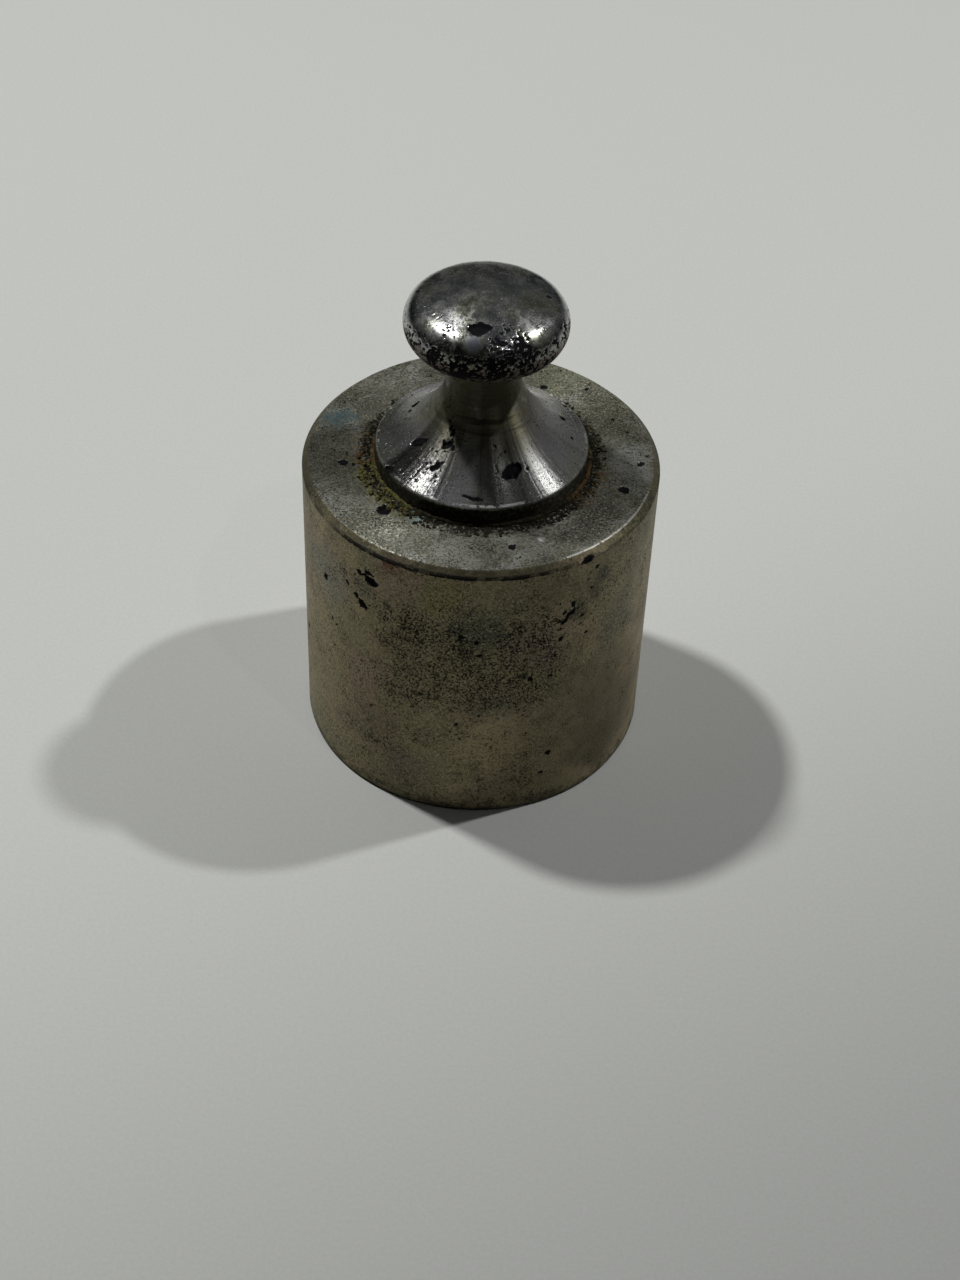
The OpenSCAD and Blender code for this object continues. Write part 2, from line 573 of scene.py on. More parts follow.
def spin_tree(name, pocks, bands):
    """Spins a half section, given as a line of points, round the axis, and sinks its pits.
    pocks(tree) gives the fine pitting from 0 to 1, and bands names each finish with the height
    it starts at."""
    tree, given = geometry_tree(name, {
        "Sides": "Int", "Pits": "Object", "Pock depth": "Float", "Ragged": "Float",
        **{label: "Material" for label in bands}})
    section = given["Geometry"]
    rows = tree.node("GeometryNodeAttributeDomainSize", {"component": "MESH"},
                     {"Geometry": section}, "Point Count")
    grid = tree.node("GeometryNodeMeshGrid", values={
        "Size X": 1.0, "Size Y": 1.0, "Vertices X": given["Sides"] + 1, "Vertices Y": rows}, out="Mesh")
    across, along, _ = tree.split(grid["UV Map"])
    point = tree.node("GeometryNodeSampleIndex", {"data_type": "FLOAT_VECTOR", "domain": "POINT"},
                      {"Geometry": section, "Value": tree.place,
                       "Index": (along * (rows - 1)).math("ROUND")})
    turned = tree.node("ShaderNodeVectorRotate", {"rotation_type": "Z_AXIS"},
                       {"Vector": point, "Angle": across * math.tau})
    spun = tree.node("GeometryNodeSetPosition", values={"Geometry": grid, "Position": turned})
    closed = tree.node("GeometryNodeMergeByDistance", values={"Geometry": spun, "Distance": 1e-6})

    shift = tree.vector("SUBTRACT", tree.noise(1.2, out=1), (0.5, 0.5, 0.5))
    ragged = tree.vector("ADD", tree.place, tree.scaled(shift, given["Ragged"]))
    pits = tree.node("GeometryNodeObjectInfo", values={"Object": given["Pits"]}, out="Geometry")
    inside, depth = nearest_pit(tree, pits, ragged)
    pocked = pocks(tree)
    sunk = tree.rise(inside, 0.8, 1.0) * depth + tree.rise(pocked, 0.3, 1.0) * given["Pock depth"]
    marked = tree.node("GeometryNodeStoreNamedAttribute", {"data_type": "FLOAT", "domain": "POINT"},
                       {"Geometry": closed, "Name": "pit", "Value": inside.math("MAXIMUM", pocked)})
    smooth = tree.node("GeometryNodeSetShadeSmooth", values={
        "Geometry": pushed_out(tree, marked, sunk * -1)})
    height = tree.split(tree.place)[2]
    end_tree(tree, smooth, *[(given[label], height.math("GREATER_THAN", start * MM))
                             for label, start in bands.items()])
    return tree.tree


def grown(name, base, tree, inputs):
    """The plain mesh that a geometry tree makes of a base object, as a new object."""
    modifier = base.modifiers.new("grow", "NODES")
    modifier.node_group = tree
    for item in tree.interface.items_tree:
        if item.in_out == "INPUT" and item.name in inputs:
            modifier[item.identifier] = inputs[item.name]
    seen = bpy.context.evaluated_depsgraph_get()
    mesh = bpy.data.meshes.new_from_object(
        base.evaluated_get(seen), preserve_all_data_layers=True, depsgraph=seen)
    mesh.name = name
    bpy.data.objects.remove(base)
    return new_object(name, mesh)


def base_object(name, points=(), edges=(), faces=()):
    mesh = bpy.data.meshes.new(name)
    mesh.from_pydata(points, edges, faces)
    return new_object(name, mesh)


def turned_piece(name, section, sides, pits, pocks, pock_depth, finishes):
    """A piece spun from its half section, with its pits. finishes is [(material, height it
    starts at)] from the lowest up."""
    points = [Vector((p.x, 0, p.y)) * MM for p in section]
    edges = [(i, i + 1) for i in range(len(points) - 1)]
    marks = pits_object(name + "_pits", pits)
    tree = spin_tree(name + "_spin", pocks, {material.name: start for material, start in finishes})
    piece = grown(name, base_object(name + "_section", points, edges), tree, {
        "Sides": sides, "Pits": marks, "Pock depth": pock_depth * MM, "Ragged": RAGGED * MM,
        **{material.name: material for material, _ in finishes}})
    bpy.data.objects.remove(marks)
    return piece


def crumbs_tree():
    """Scatters crumbs of corrosion over a face, in patches, the largest of them at the left."""
    tree, given = geometry_tree("crumbs", {
        "Per square metre": "Float", "Smallest": "Float", "Largest": "Float", "Crust": "Material"})
    patches = tree.rise(tree.noise(0.45, 2, 0.5), 0.46, 0.58)
    points = tree.node("GeometryNodeDistributePointsOnFaces", {"distribute_method": "RANDOM"}, {
        "Mesh": given["Geometry"], "Seed": 4,
        "Density": given["Per square metre"] * (patches * 0.85 + 0.15)})
    size = tree.node("FunctionNodeRandomValue", {"data_type": "FLOAT"}, {
        "Min": given["Smallest"], "Max": given["Largest"], "Seed": 5})
    size = size * (tree.window(tree.around()[0], -80, -38, 12) * 0.9 + 1)
    turn = tree.node("FunctionNodeRandomValue", {"data_type": "FLOAT_VECTOR"}, {
        "Min": (0.0, 0.0, 0.0), "Max": (0.5, 0.5, math.tau), "Seed": 6})
    crumb = tree.node("GeometryNodeMeshIcoSphere", values={"Radius": 1.0, "Subdivisions": 2}, out="Mesh")
    dropped = tree.node("GeometryNodeInstanceOnPoints", values={
        "Points": points, "Instance": crumb, "Rotation": turn,
        "Scale": tree.joined(size, size * 0.8, size * 0.55)})
    solid = tree.node("GeometryNodeRealizeInstances", values={"Geometry": dropped})
    lumps = tree.noise(6.0, 2, 0.6) - 0.5
    end_tree(tree, pushed_out(tree, solid, lumps * given["Largest"]), (given["Crust"], True))
    return tree.tree


def bead_tree():
    """Runs an uneven bead of grime round a circle."""
    tree, given = geometry_tree("grime_bead", {
        "Circle radius": "Float", "Height": "Float", "Bead radius": "Float", "Crust": "Material"})
    circle = tree.node("GeometryNodeCurvePrimitiveCircle", values={
        "Resolution": BEAD_STEPS, "Radius": given["Circle radius"]})
    section = tree.node("GeometryNodeCurvePrimitiveCircle", values={
        "Resolution": BEAD_SIDES, "Radius": given["Bead radius"]})
    tube = tree.node("GeometryNodeCurveToMesh", values={"Curve": circle, "Profile Curve": section})
    swell = (tree.noise(0.55, 3, 0.6) - 0.5) * 2.2 + (tree.noise(3.0, 3, 0.7) - 0.5) * 1.4
    uneven = pushed_out(tree, tube, swell * given["Bead radius"])
    smooth = tree.node("GeometryNodeSetShadeSmooth", values={
        "Geometry": lifted(tree, uneven, given["Height"])})
    end_tree(tree, smooth, (given["Crust"], True))
    return tree.tree


def thread_tree():
    """Winds a right-handed screw ridge up a cylinder, running out at both ends."""
    tree, given = geometry_tree("screw_thread", {
        "Radius": "Float", "Pitch": "Float", "Ridge": "Float", "Length": "Float", "Start": "Float",
        "Metal": "Material"})
    helix = tree.node("GeometryNodeCurveSpiral", values={
        "Resolution": THREAD_SIDES, "Rotations": given["Length"] / given["Pitch"],
        "Start Radius": given["Radius"], "End Radius": given["Radius"], "Height": given["Length"]})
    upright = tree.node("GeometryNodeSetCurveNormal", {"mode": "Z_UP"}, {"Curve": helix})
    along = tree.node("GeometryNodeSplineParameter", out="Factor")
    ends = tree.rise(along, 0.0, THREAD_RUN_OUT) * tree.rise(along, 1.0, 1 - THREAD_RUN_OUT)
    tapered = tree.node("GeometryNodeSetCurveRadius", values={
        "Curve": upright, "Radius": ends * 0.95 + 0.05})
    ridge = tree.node("GeometryNodeCurvePrimitiveQuadrilateral", {"mode": "RECTANGLE"}, {
        "Width": given["Ridge"] * math.sqrt(2), "Height": given["Ridge"] * math.sqrt(2)})
    tilted = tree.node("GeometryNodeTransform", values={
        "Geometry": ridge, "Rotation": (0.0, 0.0, math.pi / 4)})
    wound = tree.node("GeometryNodeCurveToMesh", values={
        "Curve": tapered, "Profile Curve": tilted, "Fill Caps": True})
    end_tree(tree, lifted(tree, wound, given["Start"]), (given["Metal"], True))
    return tree.tree


# ======== fine pitting

def knob_pocks(tree):
    """Corrosion round the head's lower edge, thickest at the front, and a little on the flare."""
    degrees, reach, height = tree.around()
    field = tree.noise(2.1)
    clumps = tree.noise(0.55, 2, 0.5)
    below = tree.window(height, HEAD_UNDER + 0.1, EDGE_Z + 0.9, 2.0)
    front = tree.window(degrees, -60, 75, 50)
    worst = tree.window(degrees, -36, 4, 14) * tree.window(height, HEAD_UNDER + 2.0, EDGE_Z + 0.8, 1.0)
    right = tree.window(degrees, 4, 34, 8) * tree.window(height, EDGE_Z - 0.5, EDGE_Z + 2.6, 1.0) * 1.2
    head = (below * (front * 0.75 + 0.25)).math("MAXIMUM", right)
    fan = tree.window(degrees, -50, -30, 14) * tree.window(reach, 6.0, 12.3, 1.5) * 0.4
    zone = head.math("MAXIMUM", fan)
    edge = 0.73 - zone * 0.22 - worst * 0.1 - (clumps - 0.5) * 0.42
    on_metal = tree.rise(height, RIM_TOP - 1, RIM_TOP)
    return tree.rise(field - edge, 0.0, 0.05) * on_metal


def body_pocks(tree):
    """A few shallow pocks, more of them on the top face round the foot."""
    field = tree.noise(0.8, 3, 0.6)
    height = tree.split(tree.where)[2]
    top = tree.rise(height, BODY_TOP - 1, BODY_TOP)
    return tree.rise(field - (0.74 - top * 0.03), 0.0, 0.05)


# ======== materials

def new_material(name, **constants):
    """A node material with constants set on its shader, as (material, tree, shader's sockets)."""
    material = bpy.data.materials.new(name)
    material.use_nodes = True
    shader = material.node_tree.nodes["Principled BSDF"]
    for label, value in constants.items():
        shader.inputs[label.replace("_", " ")].default_value = value
    return material, Tree(material.node_tree, "ShaderNodeTexCoord", "Object"), shader.inputs


class Finish:
    """A surface's colour, roughness and metal share, built up coat by coat."""

    def __init__(self, tree, colour, roughness, metallic):
        self.tree = tree
        self.colour = colour
        self.roughness = roughness
        self.metallic = metallic

    def lay(self, mask, colour, roughness, metallic):
        """Lays a coat over what is there, where mask is 1."""
        self.colour = self.tree.mix(mask, self.colour, colour)
        self.roughness = self.roughness + mask * (roughness - self.roughness)
        self.metallic = self.metallic + mask * (metallic - self.metallic)

    def join(self, shader, relief, strength, depth):
        """Joins the finish to its shader, with a relief that is depth millimetres deep."""
        self.tree.feed(shader["Base Color"], self.colour)
        self.tree.feed(shader["Roughness"], self.roughness)
        self.tree.feed(shader["Metallic"], self.metallic)
        self.tree.feed(shader["Normal"], self.tree.node("ShaderNodeBump", values={
            "Strength": strength, "Distance": depth * MM, "Height": relief}))


def turning_lines(tree, per_mm):
    """Fine grooves that run round the axis, as a value about 0.5."""
    x, y, _ = tree.split(tree.where)
    _, reach, height = tree.around()
    turn = 0.6 / (reach + 0.01)
    return tree.noise(1.0, 3, 0.6, at=tree.joined(x * turn, y * turn, (reach + height) * per_mm))


def stain(tree, place, size, ragged=0.5):
    """A soft ragged patch about a place on the surface."""
    shift = tree.vector("SUBTRACT", tree.noise(1.2 / size, 4, 0.65, out=1), (0.5, 0.5, 0.5))
    moved = tree.vector("ADD", tree.where, tree.scaled(shift, 2 * size * ragged))
    away = tree.vector("DISTANCE", moved, tuple(place), "Value")
    return tree.rise(away, size, size * 0.35)


# Stains on the side, on the top face and in the seam's grime: (degrees, height or reach), size
# and colour, with the share that shows before the colour in the grime.
SIDE_STAINS = (
    ((6, 12), 6.0, (0.33, 0.265, 0.155)),
    ((22, 28), 5.5, (0.25, 0.19, 0.14)),
    ((-38, 19), 5.0, (0.28, 0.205, 0.145)),
    ((-24, 36), 4.5, (0.28, 0.21, 0.15)),
    ((-10, 35), 3.5, (0.22, 0.205, 0.09)),
    ((-22, 6), 5.0, (0.21, 0.165, 0.12)),
    ((50, 12), 10.0, (0.105, 0.093, 0.058)),
    ((49, 6), 5.0, (0.10, 0.085, 0.05)),
    ((27, 29), 4.5, (0.30, 0.245, 0.16)),
    ((54, 26), 6.0, (0.14, 0.13, 0.095)),
    ((8, 15), 3.5, (0.36, 0.30, 0.18)),
    ((-55, 30), 6.0, (0.20, 0.20, 0.155)),
    ((2, 31), 4.5, (0.10, 0.105, 0.075)),
    ((43, 35), 1.8, (0.07, 0.065, 0.048)),
    ((40, 32.8), 1.8, (0.07, 0.065, 0.048)),
    ((34, 31.2), 1.8, (0.06, 0.056, 0.04)),
    ((-28.6, 31.7), 1.0, (0.04, 0.036, 0.026)),
    ((-27, 38), 1.8, (0.17, 0.08, 0.055)),
    ((-39, 32.5), 2.6, (0.12, 0.11, 0.08)),
)
TOP_STAINS = (
    ((-8, 17.5), 4.5, (0.27, 0.275, 0.24)),
    ((24, 17.0), 3.5, (0.20, 0.205, 0.18)),
    ((55, 16.4), 4.6, (0.042, 0.04, 0.034)),
    ((40, 18.0), 3.2, (0.09, 0.09, 0.08)),
    ((-27, 17.8), 3.0, (0.12, 0.122, 0.10)),
    ((91, 17.6), 3.2, (0.36, 0.37, 0.34)),
    ((-126, 17.0), 4.5, (0.10, 0.10, 0.078)),
    ((129, 18.4), 4.5, (0.10, 0.105, 0.075)),
    ((82, 18.0), 3.0, (0.27, 0.28, 0.26)),
    ((118, 16.5), 6.5, (0.07, 0.073, 0.05)),
    ((-82, 17.5), 5.0, (0.085, 0.084, 0.065)),
    ((-45, 18.5), 4.0, (0.10, 0.10, 0.08)),
    ((95, 19.0), 3.0, (0.21, 0.22, 0.20)),
    ((150, 18.0), 5.0, (0.13, 0.14, 0.09)),
)
SEAM_STAINS = (
    ((-32, 14.0), 1.3, 1.0, (0.19, 0.25, 0.24)),
    ((25.6, 16.5), 0.6, 1.0, (0.45, 0.46, 0.43)),
    ((-110, 18.4), 2.8, 0.9, (0.035, 0.075, 0.09)),
)


def scratches(tree, per_mm, turn):
    """Thin, slightly wavy lines that all run one way, as a value about 0.5."""
    bent = tree.vector("ADD", tree.where, tree.scaled(tree.noise(0.15, 2, 0.5, out=1), 3.0))
    turned = tree.node("ShaderNodeVectorRotate", {"rotation_type": "Z_AXIS"}, {
        "Vector": bent, "Angle": math.radians(turn)})
    drawn_out = tree.vector("MULTIPLY", turned, (per_mm, per_mm * 0.09, per_mm * 0.09))
    return tree.noise(1.0, 2, 0.6, at=drawn_out)


def body_nickel():
    """Dull nickel plate: olive and brown stains on the side, a grey film on the top face."""
    material, tree, shader = new_material(
        "body_nickel", Anisotropic=0.75, Anisotropic_Rotation=0.25, Specular_IOR_Level=0.1)
    _, reach, height = tree.around()
    top = tree.rise(height, BODY_TOP - 0.5, BODY_TOP - 0.1)
    top = top * tree.rise(reach, BODY_R - 0.6, BODY_R - 0.9)
    finish = side_tones(tree)
    face = top_tones(tree)
    finish.lay(top, face.colour, face.roughness, face.metallic)
    relief = side_grain(tree, finish)
    edge_darkening(tree, finish, top)
    worn_edge_and_glint(tree, finish)
    seam_stains(tree, finish)
    mouth = HOLE_R + MOUTH_CHAMFER
    finish.lay(tree.rise(reach, mouth + 0.1, mouth - 0.1), (0.26, 0.19, 0.085), 0.45, 1.0)

    hole = pit_mask(tree)
    finish.lay(hole, (0.004, 0.004, 0.005), 0.8, 0.0)
    relief = turning_lines(tree, 5) * 0.5 + relief - hole * 0.2
    finish.join(shader, relief, 0.6, 0.04)
    return material


def edge_darkening(tree, finish, top):
    """Darkening along the side's upper and lower edges, thickest at the front: a dark band and line at
    the chamfer, the upper side darker away from the front, and painted shade round the base. top marks
    the top face.
    """
    degrees, _, height = tree.around()
    band = tree.rise(height, CHAMFER_Z - 0.15, CHAMFER_Z + 0.05) * (1 - top)
    film = tree.rise(tree.noise(0.9, 4, 0.65), 0.4, 0.55)
    front = tree.window(degrees, -40, 16, 16)
    finish.lay(band * (film * 0.3 + front * 0.3 + 0.3), (0.055, 0.051, 0.033), 0.5, 0.5)
    crack = tree.window(height + (film - 0.5) * 0.12, CHAMFER_Z - 0.12, CHAMFER_Z + 0.2, 0.12)
    finish.lay(crack * (film * 0.5 + front * 0.6), (0.006, 0.006, 0.004), 0.6, 0.1)
    # the upper side darker, away from the front
    high = tree.rise(height, 28, 37) * (1 - top) * tree.rise(tree.noise(0.2, 4, 0.6), 0.4, 0.6)
    finish.lay(high * (1 - front) * 0.4, (0.09, 0.085, 0.06), 0.5, 0.9)
    # painted shade: a dark band round the base, where it meets the floor
    foot = tree.rise(height + (film - 0.5) * 1.2, 2.2, 0.3)
    finish.lay(foot * 0.7, (0.03, 0.028, 0.02), 0.6, 0.4)


def pit_mask(tree):
    """Black of the pits: their own shape with a ragged rim and specks about it."""
    pit = tree.node("ShaderNodeAttribute", {"attribute_name": "pit"}, out="Fac")
    ragged = tree.noise(2.8, 5, 0.75)
    return tree.rise(pit + (ragged - 0.44).math("MAXIMUM", -0.05) * 1.4, 0.56, 0.68)


def side_tones(tree):
    """The side's first coats: olive and brown zones, smudges and single stains."""
    zones = tree.noise(0.085, 3, 0.55)
    side = tree.ramp(zones, [
        (0.3, (0.175, 0.16, 0.095)), (0.43, (0.23, 0.205, 0.117)), (0.52, (0.27, 0.23, 0.13)),
        (0.6, (0.255, 0.205, 0.13)), (0.68, (0.185, 0.172, 0.108))])
    finish = Finish(tree, side, 0.5 + (zones - 0.5) * 0.3, 1.0)
    smudge = tree.rise(tree.noise(0.55), 0.5, 0.66) * 0.4
    finish.lay(smudge, (0.09, 0.075, 0.044), 0.5, 1.0)
    for place, size, colour in SIDE_STAINS:
        mask = stain(tree, on_side(*place), size, 0.9) * 0.75
        finish.lay(mask, colour, 0.5, 1.0)
    return finish


def top_tones(tree):
    """The top face's coats: grey blotches, stains, grit, scratches and one patch of pale specks, a
    painted highlight.
    """
    blotches = tree.noise(0.32, 5, 0.65)
    face = tree.ramp(blotches, [
        (0.32, (0.10, 0.10, 0.08)), (0.48, (0.16, 0.163, 0.13)), (0.56, (0.215, 0.22, 0.185)),
        (0.66, (0.30, 0.31, 0.275))])
    finish = Finish(tree, face, 0.42 + (blotches - 0.5) * 0.4, 0.55)
    for place, size, colour in TOP_STAINS:
        finish.lay(stain(tree, on_top(*place), size) * 0.75, colour, 0.45, 0.5)
    grit = tree.rise(tree.noise(1.5, 5, 0.85), 0.5, 0.58)
    finish.lay(grit * 0.5, (0.05, 0.05, 0.036), 0.5, 0.5)
    dark, bright = (0.03, 0.03, 0.022), (0.34, 0.35, 0.32)
    for turn, colour in ((20, dark), (65, bright), (-50, dark)):
        lines = tree.rise(scratches(tree, 3.4, turn), 0.6, 0.7)
        finish.lay(lines * 0.55, colour, 0.4, 0.6)
    # painted highlight: pale specks where the left lamp's highlight falls on the top face
    painted_glints = stain(tree, on_top(-37, 17.7), 2.4, 0.9)
    finish.lay(painted_glints * tree.rise(tree.noise(2.8, 3, 0.7), 0.55, 0.6),
                  (0.62, 0.62, 0.55), 0.35, 0.5)
    return finish


def side_grain(tree, finish):
    """The plate's sandy grain and its black speckles, and the relief they make."""
    degrees, _, height = tree.around()
    field = tree.window(degrees, -20, 20, 18) * tree.window(height, 19.5, 30, 4)
    side = tree.rise(height, BODY_TOP - 0.5, BODY_TOP - 1)
    thick = tree.noise(0.28, 3, 0.6)
    grain = tree.noise(3.0, 4, 0.75)
    smooth = tree.window(degrees, 34, 90, 12) * tree.rise(height, 26, 18) * side
    worn = 0.6 - smooth * 0.45 + field * 0.35 + (thick - 0.5) * 1.2
    finish.lay(tree.rise(grain, 0.49, 0.6) * worn, (0.02, 0.018, 0.011), 0.6, 0.5)
    pale = tree.rise(tree.noise(3.9, 3, 0.75), 0.53, 0.64) * (0.65 - smooth * 0.4)
    finish.lay(pale, (0.42, 0.38, 0.275), 0.42, 0.9)

    dusting = tree.noise(4.2, 2, 0.6) + field * 0.11 + (thick - 0.5) * 0.35 + (1 - side) * 0.025
    dots = tree.rise(dusting, 0.63, 0.67)
    large = tree.rise(tree.noise(1.8, 3, 0.65) + (thick - 0.5) * 0.4 + field * 0.02, 0.70, 0.73)
    finish.lay(dots * 0.95, (0.006, 0.006, 0.004), 0.7, 0.0)
    finish.lay(large, (0.005, 0.005, 0.004), 0.7, 0.0)
    return grain * 0.8 - dots * 0.6


def worn_edge_and_glint(tree, finish):
    """Bare bright metal where the top face meets its chamfer, mostly at the right, where the bright line
    is also a painted highlight of the right lamp.
    """
    degrees, reach, height = tree.around()
    line = tree.window(reach, TOP_EDGE_R - 0.14, TOP_EDGE_R + 0.02, 0.07)
    line = line * tree.rise(height, BODY_TOP - 0.3, BODY_TOP - 0.1)
    # worn metal all round, and a painted highlight where the right lamp's highlight falls on the edge
    share = tree.window(degrees, 34, 66, 14) * 0.2 + tree.window(degrees, -28, 0, 20) * 0.06
    broken = tree.rise(tree.noise(1.3, 4, 0.75) + share, 0.6, 0.66)
    finish.lay(line * broken * 0.8, (0.5, 0.5, 0.46), 0.4, 0.6)


def seam_stains(tree, finish):
    """Grime on the top face along the foot: dark all round, with green, ochre and rust in places."""
    degrees, reach, height = tree.around()
    upper = tree.rise(height, BODY_TOP - 0.5, BODY_TOP - 0.1)
    wander = (tree.noise(0.5, 5, 0.7) - 0.5) * 4.5
    crumbs = tree.noise(2.6, 3, 0.7)
    wide = tree.rise(reach + wander, FOOT_R + 3.4, FOOT_R + 1.6) * upper * tree.rise(crumbs, 0.46, 0.56)
    green = tree.window(degrees, *GREEN_ARC)
    rust = tree.window(degrees, -100, -82, 8).math("MAXIMUM", tree.window(degrees, *RUST_ARC))
    finish.lay(wide * 0.8, (0.03, 0.029, 0.018), 0.75, 0.0)
    finish.lay(wide * green, (0.17, 0.16, 0.045), 0.75, 0.0)
    finish.lay(wide * rust * 0.6, (0.13, 0.075, 0.03), 0.75, 0.0)
    near = tree.rise(reach + wander, FOOT_R + 2.0, FOOT_R + 1.2) * upper
    finish.lay(near * tree.rise(crumbs, 0.36, 0.46), (0.008, 0.0075, 0.005), 0.8, 0.0)
    patchy = tree.rise(crumbs, 0.4, 0.55)
    for place, size, share, colour in SEAM_STAINS:
        spot = stain(tree, on_top(*place), size, 0.8)
        finish.lay(spot * patchy * share, colour, 0.7, 0.0)


def flare_nickel():
    """The knob's foot and neck: bright nickel turned in fine grooves, so lamps draw streaks on it, and
    painted shade that darkens the colour where the streaks fall.
    """
    material, tree, shader = new_material(
        "flare_nickel", Anisotropic=1.0, Anisotropic_Rotation=0.25, Specular_IOR_Level=0.1)
    degrees, reach, _ = tree.around()
    zones = tree.noise(0.16, 3, 0.6)
    tones = tree.ramp(zones, [
        (0.32, (0.50, 0.48, 0.52)), (0.47, (0.56, 0.55, 0.555)), (0.6, (0.51, 0.515, 0.45)),
        (0.7, (0.44, 0.44, 0.36))])
    fan = tree.window(degrees, -60, -26, 10)
    glint = tree.noise(3.2, 3, 0.75)
    keen = tree.window(degrees, 2, 52, 10)
    dulled = 0.17 + (zones - 0.5) * 0.1 + fan * 0.11 - keen * 0.05 + (glint - 0.5) * 0.34
    finish = Finish(tree, tones, dulled, 1.0)
    sprinkle = tree.rise(tree.noise(3.8, 3, 0.75), 0.46 - fan * 0.03, 0.56) * (0.25 + fan * 0.6)
    finish.lay(sprinkle, (0.05, 0.048, 0.044), 0.4, 0.9)
    x, y, _ = tree.split(tree.where)
    spread = tree.joined(x / reach * 16, y / reach * 16, reach * 0.03)
    spokes = tree.noise(1.0, 3, 0.7, at=spread)
    # painted shade: the colour darkens where the lamps' streaks fall, and in thin radial lines, to dim
    # and split them
    painted_streak_shade = tree.rise(spokes, 0.48, 0.6) * 0.2 + fan * 0.72 + keen * 0.76
    finish.lay(painted_streak_shade, (0.035, 0.035, 0.034), 0.24, 1.0)
    pepper = tree.rise(tree.noise(2.7, 4, 0.75), 0.56, 0.6) * fan
    finish.lay(pepper, (0.006, 0.006, 0.005), 0.7, 0.0)
    worn = tree.window(degrees, -24, 100, 14) * tree.window(reach, 8.5, 12.6, 2) * glint
    finish.lay(worn * 0.5, (0.34, 0.345, 0.34), 0.5, 0.35)
    neck_and_rim(tree, finish)
    relief = knob_wear(tree, finish, 0.5) + spokes * 1.6 + turning_lines(tree, 5) * 5
    finish.join(shader, relief, 0.5, 0.03)
    return material


def neck_and_rim(tree, finish):
    """An olive film with dark rings on the neck, scale on the rim and a bright line along it: metal worn
    through, most of it at the front, where it is a painted highlight.
    """
    degrees, reach, height = tree.around()
    neck = tree.window(height, 48.5, HEAD_UNDER + 0.2, 6)
    film = tree.noise(0.7, 4, 0.65)
    finish.lay(neck * tree.rise(film, 0.1, 0.5) * 0.9, (0.12, 0.112, 0.066), 0.45, 0.6)
    rings = tree.rise(turning_lines(tree, 1.8), 0.55, 0.66)
    finish.lay(neck * rings * 0.7, (0.02, 0.019, 0.012), 0.5, 0.5)
    rim = tree.rise(height, RIM_TOP + 0.02, RIM_TOP - 0.25)
    scale = tree.ramp(tree.noise(2.2), [
        (0.4, (0.006, 0.006, 0.004)), (0.55, (0.03, 0.028, 0.016)), (0.7, (0.11, 0.105, 0.05))])
    finish.lay(rim, scale, 0.7, 0.1)
    bare_and_glint = tree.window(reach, FLARE_END_R - 0.2, FLARE_END_R + 0.04, 0.06)
    # the bright line is worn metal, with more of it at the front as a painted highlight
    share = tree.window(degrees, -8, 24, 10) * 0.12
    bare_and_glint = bare_and_glint * tree.rise(tree.noise(0.9) + share, 0.56, 0.63)
    finish.lay(bare_and_glint * tree.rise(height, RIM_TOP - 0.2, RIM_TOP), (0.6, 0.6, 0.58), 0.35, 0.6)


def head_nickel():
    """The knob's head, worn smooth by fingers: greyer and softer than the flare."""
    material, tree, shader = new_material(
        "head_nickel", Anisotropic=0.35, Anisotropic_Rotation=0.25, Specular_IOR_Level=0.1)
    height = tree.around()[2]
    zones = tree.noise(0.26, 4, 0.62)
    tones = tree.ramp(zones, [
        (0.3, (0.16, 0.16, 0.18)), (0.42, (0.32, 0.322, 0.33)), (0.52, (0.47, 0.475, 0.45)),
        (0.6, (0.38, 0.39, 0.32)), (0.7, (0.24, 0.245, 0.18))])
    cloud = tree.noise(0.7)
    finish = Finish(tree, tones, 0.2 + (cloud - 0.5) * 0.6, 1.0)
    finish.lay(tree.rise(cloud, 0.5, 0.7) * 0.5, (0.07, 0.07, 0.06), 0.4, 0.9)
    for turn in (10, 80):
        lines = tree.rise(scratches(tree, 3.0, turn), 0.62, 0.72)
        finish.lay(lines * 0.35, (0.5, 0.5, 0.47), 0.3, 1.0)
    blue = stain(tree, on_dome(-10, 8.2), 1.5)
    finish.lay(blue * 0.8, (0.05, 0.06, 0.10), 0.4, 0.8)
    green = stain(tree, on_dome(-19, 5.7), 1.2, 0.9)
    finish.lay(green * tree.rise(cloud, 0.42, 0.55), (0.06, 0.06, 0.02), 0.6, 0.2)
    low = tree.rise(height, EDGE_Z + 1.2, EDGE_Z - 0.6)
    film = tree.noise(0.9, 4, 0.65)
    finish.lay(low * tree.rise(film, 0.1, 0.45) * 0.95, (0.12, 0.094, 0.068), 0.5, 0.6)
    relief = knob_wear(tree, finish, 0.6)
    finish.join(shader, relief, 0.5, 0.03)
    return material


def knob_wear(tree, finish, sandy):
    """Grain, black pits and turning lines over either of the knob's finishes, and the relief
    they make. sandy is how much of the grain stands up."""
    grain = tree.noise(4, 4, 0.75)
    finish.lay(tree.rise(grain, 0.53, 0.68) * 0.45, (0.05, 0.047, 0.038), 0.5, 0.6)
    fine = tree.noise(4.1)
    thick = tree.noise(0.4, 2, 0.5)
    dust = tree.rise(tree.noise(3.6, 2, 0.55) + (thick - 0.5) * 0.3, 0.65, 0.69)
    finish.lay(dust, (0.006, 0.006, 0.005), 0.7, 0.0)
    pocked = tree.rise(knob_pocks(tree) + (fine - 0.5) * 1.2, 0.25, 0.45)
    hole = pit_mask(tree).math("MAXIMUM", pocked)
    finish.lay(hole, (0.004, 0.004, 0.0055), 0.8, 0.0)
    lines = turning_lines(tree, 7)
    return lines * 0.6 + grain * sandy - dust * 0.4 - hole * 0.2


def stem_brass():
    """Bare brass with old oil in it, on the stem."""
    material, tree, shader = new_material("stem_brass")
    tones = tree.ramp(tree.noise(0.8, 4, 0.6), [
        (0.35, (0.16, 0.11, 0.045)), (0.65, (0.42, 0.30, 0.12))])
    Finish(tree, tones, 0.38, 1.0).join(shader, turning_lines(tree, 4), 0.4, 0.03)
    return material


